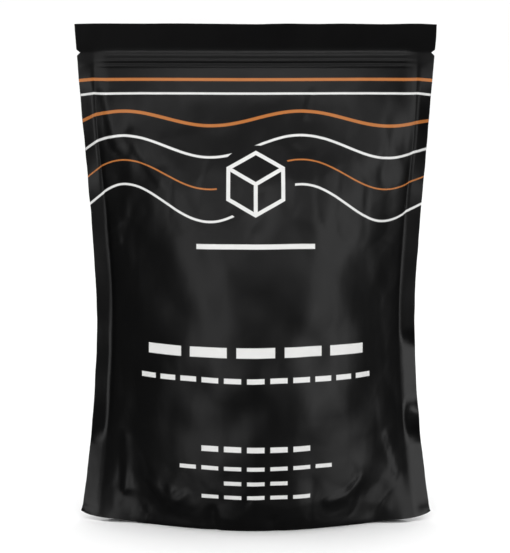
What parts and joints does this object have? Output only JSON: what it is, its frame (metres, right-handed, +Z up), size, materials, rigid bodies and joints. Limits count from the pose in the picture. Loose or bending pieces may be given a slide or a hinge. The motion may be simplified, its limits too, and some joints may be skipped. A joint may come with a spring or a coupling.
{
  "type": "chalk pouch",
  "caption": "Matte black stand-up film pouch of broken climbing chalk, with a bottom gusset, sealed sides, a press-to-close zip, tear notches and a tear-off top strip.",
  "frame": {"origin": "middle of the bounding box in x and y, on the floor the pouch stands on", "axes": "+X to the right of the front wall, +Y from the front wall to the rear wall, +Z up"},
  "size_m": [0.19, 0.0736, 0.2665],
  "materials": {
    "film": "matte black laminate with a printed band of ridge lines",
    "gusset_film": "matte black laminate",
    "zip_plastic": "milky polyethylene",
    "chalk_powder": "fine white powder",
    "chalk_block": "dry, chalky, broken faces"
  },
  "bodies": {
    "pouch": {"front_panel": "film", "rear_panel": "film", "bottom_gusset": "gusset_film", "chalk_powder": "chalk_powder", "chalk_chunk_01": "chalk_block", "chalk_chunk_02": "chalk_block", "chalk_chunk_03": "chalk_block", "chalk_chunk_04": "chalk_block", "chalk_chunk_05": "chalk_block", "chalk_chunk_06": "chalk_block", "chalk_chunk_07": "chalk_block", "chalk_chunk_08": "chalk_block", "chalk_chunk_09": "chalk_block", "chalk_chunk_10": "chalk_block", "chalk_chunk_11": "chalk_block", "chalk_chunk_12": "chalk_block", "chalk_chunk_13": "chalk_block", "chalk_chunk_14": "chalk_block", "chalk_chunk_15": "chalk_block", "chalk_chunk_16": "chalk_block", "chalk_chunk_17": "chalk_block", "chalk_chunk_18": "chalk_block", "chalk_chunk_19": "chalk_block", "chalk_chunk_20": "chalk_block", "chalk_chunk_21": "chalk_block", "chalk_chunk_22": "chalk_block", "chalk_chunk_23": "chalk_block", "chalk_chunk_24": "chalk_block", "chalk_chunk_25": "chalk_block", "chalk_chunk_26": "chalk_block", "chalk_chunk_27": "chalk_block", "chalk_chunk_28": "chalk_block", "chalk_chunk_29": "chalk_block", "chalk_chunk_30": "chalk_block", "chalk_chunk_31": "chalk_block", "chalk_chunk_32": "chalk_block"},
    "front_lip": {"front_lip": "film", "zip_rib": "zip_plastic"},
    "rear_lip": {"rear_lip": "film", "zip_channel": "zip_plastic"},
    "tear_strip": {"tear_strip_front": "film", "tear_strip_rear": "film"}
  },
  "joints": [
    {"name": "front_lip_hinge", "type": "hinge", "parent": "pouch", "child": "front_lip", "pos_m": [0, -0.0199, 0.19], "axis": [1, 0, 0], "range_deg": [0, 25], "stiffness_Nm_per_rad": 0.02},
    {"name": "rear_lip_hinge", "type": "hinge", "parent": "pouch", "child": "rear_lip", "pos_m": [0, 0.0199, 0.19], "axis": [-1, 0, 0], "range_deg": [0, 25], "stiffness_Nm_per_rad": 0.02},
    {"name": "tear_strip_lift", "type": "slide", "parent": "pouch", "child": "tear_strip", "axis": [0, 0, 1], "range_m": [0, 0.06]}
  ],
  "couplings": [
    {"joint": "rear_lip_hinge", "follows": "front_lip_hinge", "ratio": 1}
  ]
}
